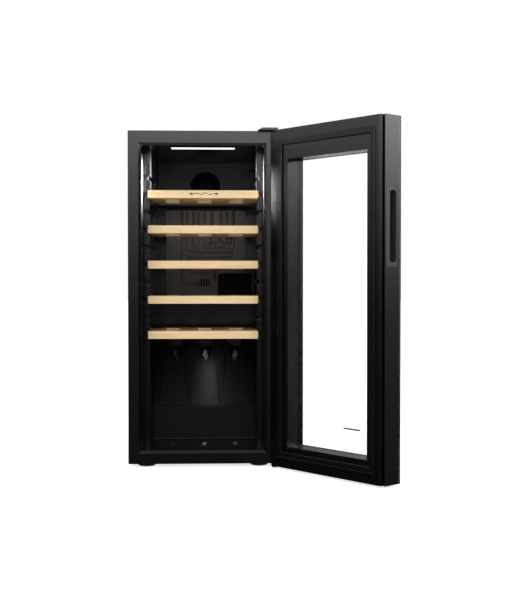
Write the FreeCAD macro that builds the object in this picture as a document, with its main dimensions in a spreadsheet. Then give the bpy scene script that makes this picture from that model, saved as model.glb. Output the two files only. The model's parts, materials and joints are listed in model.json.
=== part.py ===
"""Free-standing wine cooler: one cabinet, one glazed door, five wooden shelves, a fan and two levelling feet.

Millimetres, +Z up, -Y is the front. The origin is on the floor, under the middle of the cabinet.
The door is drawn closed, in a frame of its own on the hinge pin, and then turned to its open rest position.
"""
import FreeCAD, Part
import os
import re
import Sketcher

doc = FreeCAD.newDocument("wine_cooler")
sheet = doc.addObject("Spreadsheet::Sheet", "Dimensions")

DIMENSIONS = {
    # cabinet
    "cabinet_width": 354, "cabinet_depth": 440, "body_height": 792, "foot_height": 8,
    "frame_depth": 14, "frame_bevel": 5.5, "frame_corner": 8, "frame_edge_round": 1.5,
    "opening_half": 146.5, "opening_bottom": 39, "opening_top": 766,
    "sheet_steel": 1.2, "base_steel": 1.5,
    "liner_wall": 2, "liner_depth": 408, "guide_face": 131, "guide_front": 90,
    "step_front": 185, "step_top": 122, "step_fall": 14, "step_back_top": 300, "rest_thickness": 15,
    "rest_drop": 42, "floor_drop": 5, "bay_front": 213, "bay_low": 92, "bay_slope": 0.832,
    "well_pitch": 79, "well_radius": 37, "well_depth": 3.2, "well_place": 96,
    "facet_low": 35, "facet_high": 20, "facet_start": 193, "facet_sink": 7,
    "neck_radius": 20, "neck_tilt": 22.6, "neck_place": 299, "neck_height": 241,
    "neck_length": 150,
    # light and fan
    "light_half": 76, "light_place": 31, "light_width": 30, "light_drop": 2.5, "light_rim": 4,
    "lens_thickness": 1.4,
    "panel_place": 381, "panel_bottom": 648, "panel_thickness": 2.5,
    "fan_height": 698.7, "fan_half": 40, "fan_hole": 42.5, "fan_bore": 38, "fan_screw_half": 35.75,
    "fan_deep": 24, "fan_corner": 4, "blade_tip": 36.5, "hub_radius": 17, "hub_deep": 9, "shaft_radius": 1.5,
    "shaft_length": 15, "rotor_start": 3, "blade_chord": 18, "blade_thickness": 1.6, "blade_middle": 7.5,
    "arm_deep": 3, "arm_half": 2, "motor_radius": 14, "motor_deep": 7,
    "flange_thickness": 2, "panel_clear": 0.5,
    "fan_screw_hole": 1.6, "fan_screw_shank": 1.5, "fan_screw_length": 16,
    "fan_screw_head": 3, "fan_head_deep": 2,
    # evaporator and sensor cover
    "plate_place": 398, "plate_half": 107.75, "plate_bottom": 398, "plate_top": 636, "plate_thickness": 1.5,
    "channel": 5, "channel_rise": 1.4, "comb_start": -63, "comb_pitch": 15.2, "comb_low": 548,
    "stand_radius": 4, "stand_half": 95, "stand_low": 410, "stand_high": 620,
    "clip_left": -13, "clip_right": 11, "clip_low": 431, "clip_height": 17, "clip_deep": 5, "clip_corner": 2,
    "cover_corner": 5,
    "sensor_left": 34, "sensor_right": 126, "sensor_bottom": 400, "sensor_top": 464, "sensor_place": 374,
    # shelves
    "shelf_top": 654.5, "shelf_pitch": 85.5, "shelf_front": 57, "rail_half": 134, "rail_deep": 19,
    "rail_height": 19, "rack_half": 130.3, "rack_end": 293, "corner_start": 232, "corner_cut": 18,
    "slot_half": 19, "slot_pitch": 80.2, "slot_start": 84, "slot_end": 245,
    "tongue_height": 9, "groove_height": 10.8, "groove_deep": 6, "groove_mouth": 22, "tongue_deep": 5,
    "groove_end": 300, "rail_round": 1.2, "slot_round": 5,
    # door, measured from the hinge edge and from the inner face
    "door_width": 354, "door_bottom": 5, "door_top": 799.4, "door_deep": 56, "door_gap": 3,
    "pin_inset": 5, "pin_forward": 8.5, "pin_radius": 2.5, "bush_radius": 4, "bush_length": 14,
    "bush_clearance": 0.06,
    "door_angle": 130,
    "window_hinge": 57, "window_free": 306, "window_low": 56.5, "window_high": 727.3,
    "cover_thickness": 4, "cover_free": 346, "reveal_wall": 4, "cover_bevel": 6.5,
    "channel_wall": 1.6, "channel_deep": 13,
    "seal_outer": 24, "seal_inner": 38, "seal_stand": 2.7, "seal_groove": 47, "seal_sunk": 2,
    "pane": 4, "pane_margin": 16, "inner_pane_place": 36, "spacer_width": 8, "glass_round": 1,
    "screen_half": 48, "screen_deep": 8, "screen_low": 20, "screen_high": 52, "screen_round": 2,
    "handle_low": 476, "handle_high": 646, "handle_in": 8.4, "handle_out": 44, "handle_reach": 28,
    "handle_slot_in": 19.6, "handle_slot_out": 40.7, "handle_end": 7, "cup_wall": 2, "lip_deep": 1,
    "lip_round": 5, "slot_corner": 9,
    # feet and hinges
    "foot_radius": 22, "foot_half": 135, "foot_place": 35, "foot_disc": 6.5, "foot_taper": 3,
    "stud_radius": 4, "stud_clearance": 0.08, "stud_length": 14, "rear_foot_radius": 15,
    "hinge_steel": 2.5, "hinge_reach": 20, "hinge_left": 146, "hinge_back": 42, "hinge_hole": 2.1,
    "hinge_shank": 2, "hinge_head": 3.6, "hinge_head_deep": 2, "pin_in_cabinet": 12,
    "cap_left": 131, "cap_slope": 11, "cap_height": 5.5, "cap_over": 1.5, "cap_margin": 2,
    "lip_left": 143, "lip_right": 170, "lip_drop": 7, "lip_out": 1.2,
    "low_hinge_left": 164, "low_hinge_drop": 6, "low_hinge_web": 4,
    # machinery
    "pot_radius": 52, "pot_height": 112, "pot_x": -72, "pot_place": 350, "pot_round": 26,
    "grommet_x": 58, "grommet_y": 34, "grommet_radius": 9, "grommet_bore": 3, "grommet_height": 10,
    "tray_x": 70, "tray_y": 44, "tray_steel": 2.5, "stub_x": 12, "stub_length": 30, "stub_height": 100,
    "relay_deep": 23.5, "relay_half": 22, "relay_low": 30, "relay_high": 74, "relay_round": 3,
    "tube_radius": 2.5, "coil_left": 42, "coil_length": 110, "coil_low": 30, "coil_pitch": 20,
    "coil_inset": 24,
    "wire_radius": 0.8, "wire_pitch": 12, "wire_length": 118, "wire_low": 21,
    "drier_radius": 9, "drier_length": 70, "drier_left": 10, "drier_inset": 40, "drier_height": 150,
    "drier_end": 10, "drier_neck": 3,
    "vent_left": -132, "vent_pitch": 44, "vent_width": 34, "vent_low": 96, "vent_rise": 14, "vent_height": 6,
    "inlet_left": 96, "inlet_right": 146, "inlet_low": 36, "inlet_high": 64, "inlet_deep": 18,
    "recess_x": 11, "recess_z": 5, "recess_deep": 15, "blade_width": 2, "blade_height": 4,
    "cover_screw": 3.2, "cover_screw_deep": 1.8,
}

for row, (alias, value) in enumerate(DIMENSIONS.items(), start=1):
    sheet.set(f"A{row}", alias)
    sheet.set(f"B{row}", str(value))
    sheet.setAlias(f"B{row}", alias)
doc.recompute()

NODES = []

# places that many parts share, as formulas of the sheet's cells
FRONT = "(-cabinet_depth / 2)"
BACK = "(cabinet_depth / 2)"
SIDE = "(cabinet_width / 2)"
FLOOR = "foot_height"
ROOF = "(foot_height + body_height)"
PIN_X = f"({SIDE} - pin_inset)"
PIN_Y = f"({FRONT} - door_gap - pin_forward)"


def bound(text):
    """The same formula with each dimension's name turned into a reference to its cell."""
    return re.sub(r"[A-Za-z_]+", lambda m: "Dimensions." + m[0] if m[0] in DIMENSIONS else m[0], str(text))


def value_of(text):
    """The formula's value, for a sketch's first guess at its points."""
    return float(sheet.evalExpression(bound(text)))


def deep(distance):
    """A place this far behind the cabinet's front."""
    return f"({FRONT} + {distance})"


def bind(thing, **formulas):
    for name, text in formulas.items():
        thing.setExpression(name.replace("__", "."), bound(text))
    return thing


def place(thing, x=0, y=0, z=0):
    return bind(thing, Placement__Base__x=x, Placement__Base__y=y, Placement__Base__z=z)


def box(x, y, z):
    """A block between the two formulas of each pair."""
    made = doc.addObject("Part::Box", "Block")
    bind(made, Length=f"({x[1]}) - ({x[0]})", Width=f"({y[1]}) - ({y[0]})", Height=f"({z[1]}) - ({z[0]})")
    return place(made, x[0], y[0], z[0])


TURNS = {
    "x": FreeCAD.Rotation(FreeCAD.Vector(0, 1, 0), 90),
    "y": FreeCAD.Rotation(FreeCAD.Vector(1, 0, 0), -90),
    "z": FreeCAD.Rotation(),
}


def rod(radius, length, x=0, y=0, z=0, along="z"):
    """A cylinder that starts at x, y, z and runs along one axis."""
    made = doc.addObject("Part::Cylinder", "Rod")
    made.Placement = FreeCAD.Placement(FreeCAD.Vector(), TURNS[along])
    bind(made, Radius=radius, Height=length)
    return place(made, x, y, z)


def cone(low, high, length, x=0, y=0, z=0, along="z"):
    made = doc.addObject("Part::Cone", "Taper")
    made.Placement = FreeCAD.Placement(FreeCAD.Vector(), TURNS[along])
    bind(made, Radius1=low, Radius2=high, Height=length)
    return place(made, x, y, z)


def frustum(x, y, z, x_end, z_end):
    """A block whose back rectangle, x_end by z_end, differs from its front one."""
    made = doc.addObject("Part::Wedge", "Frustum")
    bind(made, Xmin=x[0], Xmax=x[1], Ymin=y[0], Ymax=y[1], Zmin=z[0], Zmax=z[1])
    return bind(made, X2min=x_end[0], X2max=x_end[1], Z2min=z_end[0], Z2max=z_end[1])


def cut(base, *tools):
    """The base less every tool, taken away in one step."""
    made = doc.addObject("Part::Cut", "Cut")
    made.Base, made.Tool = base, fuse(*tools)
    return made


def fuse(*things):
    if len(things) == 1:
        return things[0]
    made = doc.addObject("Part::MultiFuse", "Fusion")
    made.Shapes = list(things)
    return made


def group(*things):
    """Separate solids that share one node."""
    made = doc.addObject("Part::Compound", "Group")
    made.Links = list(things)
    return made


def rounded(base, radius, wanted):
    """Round the edges of base for which wanted(edge) is true."""
    doc.recompute()
    made = doc.addObject("Part::Fillet", "Rounded")
    made.Base = base
    size = DIMENSIONS.get(radius, radius)
    made.Edges = [(n, size, size) for n, edge in enumerate(base.Shape.Edges, start=1) if wanted(edge)]
    return made


def edges_along(axis):
    """A test for straight edges that run along x (0), y (1) or z (2)."""
    def test(edge):
        ends = edge.Vertexes
        if len(ends) != 2:
            return False
        run = ends[1].Point - ends[0].Point
        return abs(abs(run[axis]) - run.Length) < 1e-6 and run.Length > 1e-6
    return test


def round_edges(edge):
    """A test for whole circles."""
    return len(edge.Vertexes) == 1 and edge.Curve.TypeId == "Part::GeomCircle"


# each plane's role in a body, and the axis it faces
PLANES = {"xy": ("XY_Plane", "z"), "xz": ("XZ_Plane", "y"), "yz": ("YZ_Plane", "x")}


def outline(plane, points, start, end):
    """A PartDesign body: a closed outline on one plane, padded between two offsets along its normal.

    On xz the sketch's second axis is Z and the body runs along +Y; on yz they are Y, Z and +X.
    """
    body = doc.addObject("PartDesign::Body", "Profile")
    role, axis = PLANES[plane]
    flat = next(f for f in body.Origin.OriginFeatures if f.Role == role)
    sketch = body.newObject("Sketcher::SketchObject", "Outline")
    sketch.AttachmentSupport = [(flat, "")]
    sketch.MapMode = "FlatFace"
    here = [FreeCAD.Vector(value_of(across), value_of(up), 0) for across, up in points]
    count = len(here)
    for n in range(count):
        sketch.addGeometry(Part.LineSegment(here[n], here[(n + 1) % count]), False)
    for n in range(count):
        sketch.addConstraint(Sketcher.Constraint("Coincident", n, 2, (n + 1) % count, 1))
    for n, (across, up) in enumerate(points):
        for kind, text in (("DistanceX", across), ("DistanceY", up)):
            spot = here[n].x if kind == "DistanceX" else here[n].y
            index = sketch.addConstraint(Sketcher.Constraint(kind, -1, 1, n, 1, spot))
            sketch.setExpression(f"Constraints[{index}]", bound(text))
    pad = body.newObject("PartDesign::Pad", "Pad")
    pad.Profile = sketch
    bind(pad, Length=f"({end}) - ({start})")
    pad.Reversed = plane == "xz"
    return place(body, **{axis: start})


def node(name, made):
    """Name a finished piece."""
    made.Label = name
    NODES.append(made)
    return made


def on_door(made):
    """Put a piece, drawn closed in the frame of the hinge pin, on the open door."""
    if made.TypeId not in ("Part::Cut", "Part::MultiFuse", "Part::Compound", "Part::Fillet"):
        made = group(made)
    bind(made, Placement__Rotation__Angle="door_angle")
    return place(made, PIN_X, PIN_Y)


# ---------------------------------------------------------------- outer shell

def front_frame():
    opening = rounded(
        box(("-opening_half", "opening_half"), (deep(-1), deep("frame_depth + 1")),
            ("opening_bottom", "opening_top")),
        "frame_corner", edges_along(1))
    bevel = frustum(
        ("-opening_half - frame_bevel", "opening_half + frame_bevel"), (FRONT, deep("frame_bevel")),
        ("opening_bottom - frame_bevel", "opening_top + frame_bevel"),
        ("-opening_half", "opening_half"), ("opening_bottom", "opening_top"))
    slab = rounded(box((f"-{SIDE}", SIDE), (FRONT, deep("frame_depth")), (FLOOR, ROOF)),
                   "frame_edge_round", edges_along(2))
    node("front_frame", cut(slab, opening, bevel))


def shell():
    behind = (deep("frame_depth"), BACK)
    for name, low, high in (("left_side_panel", f"-{SIDE}", f"-{SIDE} + sheet_steel"),
                            ("right_side_panel", f"{SIDE} - sheet_steel", SIDE)):
        node(name, box((low, high), behind, (FLOOR, ROOF)))
    inside = (f"-{SIDE} + sheet_steel", f"{SIDE} - sheet_steel")
    node("top_panel", box(inside, behind, (f"{ROOF} - sheet_steel", ROOF)))
    holes = [rod("stud_radius + stud_clearance", "base_steel + 2", f"{side} * foot_half", deep("foot_place"),
                 f"{FLOOR} - 1")
             for side in (-1, 1)]
    pan = box(inside, (deep("frame_depth"), f"{BACK} - sheet_steel"), (FLOOR, f"{FLOOR} + base_steel"))
    node("base_pan", cut(pan, *holes))
    bay_top = "(bay_low + bay_slope * (cabinet_depth - sheet_steel - bay_front))"
    node("back_panel", box(inside, (f"{BACK} - sheet_steel", BACK), (bay_top, f"{ROOF} - sheet_steel")))


def liner_outline(inset, front):
    """The cabinet's inside in side view, with the step over the compressor; inset grows it outwards."""
    low = f"opening_bottom - floor_drop - {inset}"
    step = f"step_front + rest_thickness + {inset}"
    back = f"liner_depth + {inset}"
    return [
        (deep(front), low),
        (deep(step), low),
        (deep(step), f"step_top - step_fall - {inset}"),
        (deep(back), f"step_back_top - rest_drop - {inset}"),
        (deep(back), f"opening_top + {inset}"),
        (deep(front), f"opening_top + {inset}"),
    ]


def liner():
    outside = outline("yz", liner_outline("liner_wall", "frame_depth"),
                      "-opening_half - liner_wall", "opening_half + liner_wall")
    inside = outline("yz", liner_outline("0", "frame_depth - 1"), "-opening_half", "opening_half")
    node("inner_liner", cut(outside, inside))


def foam():
    block = box((f"-{SIDE} + sheet_steel", f"{SIDE} - sheet_steel"),
                (deep("frame_depth"), f"{BACK} - sheet_steel"),
                (f"{FLOOR} + base_steel", f"{ROOF} - sheet_steel"))
    cavity = outline("yz", liner_outline("liner_wall", "frame_depth - 1"),
                     "-opening_half - liner_wall", "opening_half + liner_wall")
    bay = outline("yz", [
        (deep("bay_front"), "foot_height"),
        (deep("cabinet_depth"), "foot_height"),
        (deep("cabinet_depth"), "bay_low + bay_slope * (cabinet_depth - bay_front)"),
        (deep("bay_front"), "bay_low"),
    ], f"-{SIDE}", SIDE)
    studs = [rod("stud_radius + 2", "stud_length", f"{side} * foot_half", deep("foot_place"),
                 f"{FLOOR} + base_steel")
             for side in (-1, 1)]
    node("insulation_foam", cut(block, cavity, bay, *studs))


# ---------------------------------------------------------------- inside the cabinet

def shelf_guides():
    """A full-height column on each side wall, grooved at every half pitch, each groove wide at its front."""
    for name, side in (("left_shelf_guide", -1), ("right_shelf_guide", 1)):
        low, high = ("-opening_half", "-guide_face") if side < 0 else ("guide_face", "opening_half")
        points = liner_outline("0", "guide_front")
        column = outline("yz", points, low, high)
        grooves = []
        for step in range(-1, 9):
            height = f"(shelf_top - {step} * shelf_pitch / 2)"
            tall = (f"{height} - groove_height / 2", f"{height} + groove_height / 2")
            across = ("-guide_face - groove_deep", "-guide_face + 1")
            way_in = ("-opening_half - 1", "-guide_face + 1")
            if side > 0:
                across = ("guide_face - 1", "guide_face + groove_deep")
                way_in = ("guide_face - 1", "opening_half + 1")
            grooves.append(box(across, (deep("guide_front - 1"), deep("groove_end")), tall))
            grooves.append(box(way_in, (deep("guide_front - 1"), deep("guide_front + groove_mouth")), tall))
        node(name, cut(column, *grooves))


def light():
    """A long lamp whose lens is let into its housing and lies flush with it."""
    across = ("-light_half", "light_half")
    along = (deep("light_place"), deep("light_place + light_width"))
    housing = box(("-light_half - light_rim", "light_half + light_rim"),
                  (deep("light_place - light_rim"), deep("light_place + light_width + light_rim")),
                  ("opening_top - light_drop", "opening_top"))
    lens = ("opening_top - light_drop", "opening_top - light_drop + lens_thickness")
    node("led_housing", cut(housing, box(across, along, (f"{lens[0]} - 1", lens[1]))))
    node("led_lens", box(across, along, lens))


def fan_corners():
    return [(f"{i} * fan_screw_half", f"(fan_height + {j} * fan_screw_half)")
            for i in (-1, 1) for j in (-1, 1)]


FAN_BLADES = 7
BLADE_PITCH = 52


def fan_holes(radius, length, start):
    return [rod(radius, length, x, start, z, "y") for x, z in fan_corners()]


def fan():
    """An axial fan behind the top panel of the back wall."""
    front = "panel_place + panel_thickness"
    back = f"{front} + fan_deep"
    panel_height = ("panel_bottom", "opening_top - panel_clear")
    panel = box(("-guide_face + 1", "guide_face - 1"), (deep("panel_place"), deep(front)), panel_height)
    mouth = rod("fan_hole", "panel_thickness + 2", 0, deep("panel_place - 1"), "fan_height", "y")
    holes = fan_holes("fan_screw_hole", "panel_thickness + 2", deep("panel_place - 1"))
    flanges = [box(across, (deep(front), deep("liner_depth")), panel_height)
               for across in (("-guide_face + 1", "-guide_face + 1 + flange_thickness"),
                              ("guide_face - 1 - flange_thickness", "guide_face - 1"))]
    node("fan_panel", fuse(cut(panel, mouth, *holes), *flanges))

    frame = box(("-fan_half", "fan_half"), (deep(front), deep(back)),
                ("fan_height - fan_half", "fan_height + fan_half"))
    frame = rounded(frame, "fan_corner", edges_along(1))
    bore = rod("fan_bore", "fan_deep + 2", 0, deep(f"{front} - 1"), "fan_height", "y")
    holes = fan_holes("fan_screw_hole", "fan_deep + 2", deep(f"{front} - 1"))
    rear = (deep(f"{back} - arm_deep"), deep(back))
    arms = [box(("-fan_bore - 1", "fan_bore + 1"), rear, ("fan_height - arm_half", "fan_height + arm_half")),
            box(("-arm_half", "arm_half"), rear, ("fan_height - fan_bore - 1", "fan_height + fan_bore + 1"))]
    disc = rod("hub_radius + 1", "arm_deep", 0, rear[0], "fan_height", "y")
    node("fan_frame", fuse(cut(frame, bore, *holes), *arms, disc))

    motor_start = f"{back} - arm_deep - motor_deep"
    motor = rod("motor_radius", "motor_deep", 0, deep(motor_start), "fan_height", "y")
    well = rod("shaft_radius + 0.05", "motor_deep - 1", 0, deep(f"{motor_start} - 1"), "fan_height", "y")
    node("fan_motor", cut(motor, well))

    hub = rod("hub_radius", "hub_deep", 0, deep(f"{front} + rotor_start"), "fan_height", "y")
    shaft = rod("shaft_radius", "shaft_length", 0, deep(f"{front} + rotor_start"), "fan_height", "y")
    pitch = FreeCAD.Rotation(FreeCAD.Vector(1, 0, 0), BLADE_PITCH)
    blades = []
    for n in range(FAN_BLADES):
        flat = group(box(("hub_radius - 2", "blade_tip"), ("-blade_thickness / 2", "blade_thickness / 2"),
                         ("-blade_chord / 2", "blade_chord / 2")))
        turn = FreeCAD.Rotation(FreeCAD.Vector(0, 1, 0), 360 * n / FAN_BLADES)
        flat.Placement = FreeCAD.Placement(FreeCAD.Vector(), turn.multiply(pitch))
        blades.append(place(flat, 0, deep(f"{front} + blade_middle"), "fan_height"))
    node("fan_rotor", fuse(hub, shaft, *blades))

    heads = fan_holes("fan_screw_head", "fan_head_deep", deep("panel_place - fan_head_deep"))
    shanks = fan_holes("fan_screw_shank", "fan_screw_length", deep("panel_place"))
    node("fan_screws", group(*[fuse(head, shank) for head, shank in zip(heads, shanks)]))


# the evaporator's channels below its comb: level ones (left, right, height) and upright ones (x, low, high)
LEVEL_RUNS = ((-66, 77, 545), (-43, 74, 529), (-43, 74, 518), (-43, 74, 507), (-60, 40, 492), (-60, 40, 438))
UPRIGHT_RUNS = ((74, 529, 545), (-43, 518, 529), (74, 507, 518), (-43, 492, 507), (-60, 436, 492),
                (22, 442, 492), (38, 442, 492))
COMB_TEETH = 10


def evaporator():
    """A flat bonded plate whose refrigerant channels stand out as ribs."""
    back = "plate_place + plate_thickness"
    plate = box(("-plate_half", "plate_half"), (deep("plate_place"), deep(back)),
                ("plate_bottom", "plate_top"))
    rise = (deep("plate_place - channel_rise"), deep("plate_place + 0.5"))

    def about(middle):
        return (f"{middle} - channel / 2", f"{middle} + channel / 2")

    ribs = [box(about(f"(comb_start + {n} * comb_pitch)"), rise, ("comb_low", "plate_top - 6"))
            for n in range(COMB_TEETH)]
    ribs += [box((low, high), rise, about(height)) for low, high, height in LEVEL_RUNS]
    ribs += [box(about(x), rise, (low, high)) for x, low, high in UPRIGHT_RUNS]
    stand = [rod("stand_radius", f"liner_depth - ({back})", f"{side} * stand_half", deep(back), z, "y")
             for side in (-1, 1) for z in ("stand_low", "stand_high")]
    node("evaporator_plate", fuse(plate, *ribs, *stand))
    clip = box(("clip_left", "clip_right"),
               (deep("plate_place - channel_rise - clip_deep"), deep("plate_place - channel_rise")),
               ("clip_low", "clip_low + clip_height"))
    node("capillary_clip", rounded(clip, "clip_corner", edges_along(1)))
    cover = box(("sensor_left", "sensor_right"), (deep("sensor_place"), deep("plate_place - 1.5")),
                ("sensor_bottom", "sensor_top"))
    node("sensor_cover", rounded(cover, "cover_corner", edges_along(1)))


def lower_compartment():
    """The sloping moulding over the compressor, a facet and a neck hole for each bottle, and the floor."""
    moulding = outline("yz", [
        (deep("step_front"), "opening_bottom - floor_drop"),
        (deep("step_front + rest_thickness"), "opening_bottom - floor_drop"),
        (deep("step_front + rest_thickness"), "step_top - step_fall"),
        (deep("liner_depth"), "step_back_top - rest_drop"),
        (deep("liner_depth"), "step_back_top"),
        (deep("step_front"), "step_top"),
    ], "-guide_face + 0.5", "guide_face - 0.5")
    rise = "(step_back_top - step_top) / (liner_depth - step_front)"
    start_height = f"step_top + {rise} * (facet_start - step_front)"
    end_height = f"step_top + {rise} * (liner_depth + 2 - step_front)"
    clear_of_top = 30
    recesses = []
    for n in (-1, 0, 1):
        middle = f"{n} * well_pitch"
        facet = frustum((f"{middle} - facet_low", f"{middle} + facet_low"),
                        (deep("facet_start"), deep("liner_depth + 2")),
                        (start_height, f"{start_height} + {clear_of_top}"),
                        (f"{middle} - facet_high", f"{middle} + facet_high"),
                        (f"{end_height} - facet_sink", f"{end_height} + {clear_of_top}"))
        neck = rod("neck_radius", "neck_length")
        neck.Placement = FreeCAD.Placement(
            FreeCAD.Vector(), FreeCAD.Rotation(FreeCAD.Vector(1, 0, 0), DIMENSIONS["neck_tilt"] - 90))
        place(neck, middle, deep("neck_place"), "neck_height")
        recesses += [facet, neck]
    node("bottle_rest", cut(moulding, *recesses))

    floor = box(("-opening_half + 0.5", "opening_half - 0.5"), (deep("frame_depth"), deep("step_front")),
                ("opening_bottom - floor_drop", "opening_bottom"))
    foot_of_guides = [box((low, high), (deep("guide_front - 0.5"), deep("step_front + 1")),
                          ("opening_bottom - floor_drop - 1", "opening_bottom + 1"))
                      for low, high in (("-opening_half", "-guide_face + 0.5"),
                                        ("guide_face - 0.5", "opening_half"))]
    ball = "(well_radius * well_radius + well_depth * well_depth) / (2 * well_depth)"
    wells = []
    for n in (-1, 0, 1):
        dish = doc.addObject("Part::Sphere", "Dish")
        bind(dish, Radius=ball)
        place(dish, f"{n} * well_pitch", deep("well_place"), f"opening_bottom + {ball} - well_depth")
        wells.append(dish)
    node("floor_tray", cut(floor, *foot_of_guides, *wells))


def shelves():
    """Each shelf: a beech front rail and a rack with three long slots and a thin tongue down each side."""
    for n in range(5):
        height = f"(shelf_top - {n} * shelf_pitch)"
        low, high = f"{height} - rail_height / 2", f"{height} + rail_height / 2"
        rail = box(("-rail_half", "rail_half"), (deep("shelf_front"), deep("shelf_front + rail_deep")),
                   (low, high))
        node(f"shelf_{n + 1}_front_rail", rounded(rail, "rail_round", edges_along(0)))

        start = deep("shelf_front + rail_deep")
        board = outline("xy", [
            ("-rack_half", start), ("rack_half", start), ("rack_half", deep("corner_start")),
            ("rack_half - corner_cut", deep("rack_end")), ("-rack_half + corner_cut", deep("rack_end")),
            ("-rack_half", deep("corner_start")),
        ], f"{low} + 0.5", f"{high} - 1")
        tongues = box(("-guide_face - tongue_deep", "guide_face + tongue_deep"),
                      (deep("guide_front + 2"), deep("corner_start - 4")),
                      (f"{height} - tongue_height / 2", f"{height} + tongue_height / 2"))
        slots = [rounded(box((f"{i} * slot_pitch - slot_half", f"{i} * slot_pitch + slot_half"),
                             (deep("slot_start"), deep("slot_end")), (f"{low} - 1", f"{high} + 1")),
                         "slot_round", edges_along(2))
                 for i in (-1, 0, 1)]
        node(f"shelf_{n + 1}_rack", cut(fuse(board, tongues), *slots))


# ---------------------------------------------------------------- door, drawn closed round the pin

def from_hinge(distance):
    """X in the door's frame of a place this far from the hinge edge."""
    return f"(pin_inset - ({distance}))"


def outward(distance):
    """Y in the door's frame of a place this far outward from the inner face."""
    return f"(pin_forward - ({distance}))"


def door_box(across, out, up):
    return box((from_hinge(across[1]), from_hinge(across[0])), (outward(out[1]), outward(out[0])), up)


def ring(inset, inner, out):
    """A frame parallel to the door's edges: inset from them outside, and inner is its hole's four sides."""
    whole = door_box((inset, f"door_width - ({inset})"), out,
                     (f"door_bottom + {inset}", f"door_top - ({inset})"))
    hole = door_box((inner[0], inner[1]), (f"{out[0]} - 1", f"{out[1]} + 1"), (inner[2], inner[3]))
    return cut(whole, hole)


def window(margin="0"):
    """The clear window's four sides, grown by a margin."""
    return (f"window_hinge - ({margin})", f"window_free + ({margin})",
            f"window_low - ({margin})", f"window_high + ({margin})")


def door():
    glass_at = "door_deep - pane"
    body = door_box((0, "cover_free"), ("cover_thickness", glass_at), ("door_bottom", "door_top"))
    near = window("reveal_wall")
    far = window("pane_margin")
    through = door_box(near[:2], (0, "door_deep"), near[2:])
    rebate = door_box(far[:2], ("inner_pane_place", "door_deep"), far[2:])
    cup_out = ("handle_slot_in - cup_wall", "handle_slot_out + cup_wall")
    cup_up = ("handle_low + handle_end - cup_wall", "handle_high - handle_end + cup_wall")
    pocket = door_box(("door_width - handle_reach - cup_wall", "door_width"), cup_out, cup_up)
    bush_ends = ("door_bottom", "door_top - bush_length")
    bush_holes = [rod("bush_radius", "bush_length", 0, 0, z) for z in bush_ends]
    screen = (("door_width / 2 - screen_half", "door_width / 2 + screen_half"),
              (f"{glass_at} - screen_deep", glass_at),
              ("window_high + screen_low", "window_high + screen_high"))
    node("door_frame", on_door(cut(body, through, rebate, pocket, door_box(*screen), *bush_holes)))
    node("control_display", on_door(rounded(door_box(*screen), "screen_round", edges_along(2))))

    face = door_box((0, "cover_free"), (0, "cover_thickness"), ("door_bottom", "door_top"))
    walls = door_box(near[:2], ("cover_thickness", "inner_pane_place"), near[2:])
    clear = door_box(window()[:2], (-1, "inner_pane_place + 1"), window()[2:])
    seal_seat = ring("seal_outer", ("seal_groove", "door_width - seal_inner", "door_bottom + seal_groove",
                                    "door_top - seal_groove"), ("-1", "seal_sunk"))
    bevel = outline("xy", [
        (from_hinge("cover_free + 1"), outward("-1")),
        (from_hinge("cover_free - cover_bevel"), outward("-0.01")),
        (from_hinge("cover_free + 1"), outward("cover_thickness - 0.4")),
    ], "door_bottom - 1", "door_top + 1")
    node("door_inner_cover", on_door(cut(fuse(face, walls), clear, seal_seat, bevel)))

    seal = ring("seal_outer", ("seal_inner", "door_width - seal_inner", "door_bottom + seal_inner",
                               "door_top - seal_inner"), ("-seal_stand", "seal_sunk"))
    node("door_gasket", on_door(seal))

    outer = door_box((0, "door_width"), (glass_at, "door_deep"), ("door_bottom", "door_top"))
    node("outer_glass", on_door(rounded(outer, "glass_round", edges_along(2))))
    edge = window("pane_margin - 0.5")
    pane_back = "inner_pane_place + pane"
    node("inner_glass", on_door(door_box(edge[:2], ("inner_pane_place", pane_back), edge[2:])))
    border = door_box(window("spacer_width")[:2], (pane_back, glass_at), window("spacer_width")[2:])
    centre = door_box(window()[:2], (0, "door_deep"), window()[2:])
    node("glass_spacer", on_door(cut(border, centre)))

    edge_strip = door_box(("cover_free", "door_width"), (0, glass_at), ("door_bottom", "door_top"))
    channel = door_box(("cover_free - 1", "door_width - channel_wall"), (-1, "channel_deep"),
                       ("door_bottom - 1", "door_top + 1"))
    set_back = door_box(("cover_free - 1", "door_width + 1"), (-1, "cover_thickness"),
                        ("door_bottom - 1", "door_top + 1"))
    bezel = door_box(("door_width - lip_deep", "door_width + 1"), ("handle_in", "handle_out"),
                     ("handle_low", "handle_high"))
    mouth = door_box(("cover_free - 1", "door_width + 1"), cup_out, cup_up)
    node("handle_profile", on_door(cut(edge_strip, channel, set_back, bezel, mouth)))

    cup = door_box(("door_width - handle_reach - cup_wall", "door_width - lip_deep"), cup_out, cup_up)
    lip = door_box(("door_width - lip_deep", "door_width"), ("handle_in", "handle_out"),
                   ("handle_low", "handle_high"))
    lip = rounded(lip, "lip_round", edges_along(0))
    hollow = door_box(("door_width - handle_reach", "door_width + 1"), ("handle_slot_in", "handle_slot_out"),
                      ("handle_low + handle_end", "handle_high - handle_end"))
    hollow = rounded(hollow, "slot_corner", edges_along(0))
    node("handle_pocket", on_door(cut(fuse(cup, lip), hollow)))

    bushes = [cut(rod("bush_radius", "bush_length", 0, 0, z),
                  rod("pin_radius + bush_clearance", "bush_length + 2", 0, 0, f"{z} - 1"))
              for z in bush_ends]
    node("hinge_bushes", on_door(group(*bushes)))


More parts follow.
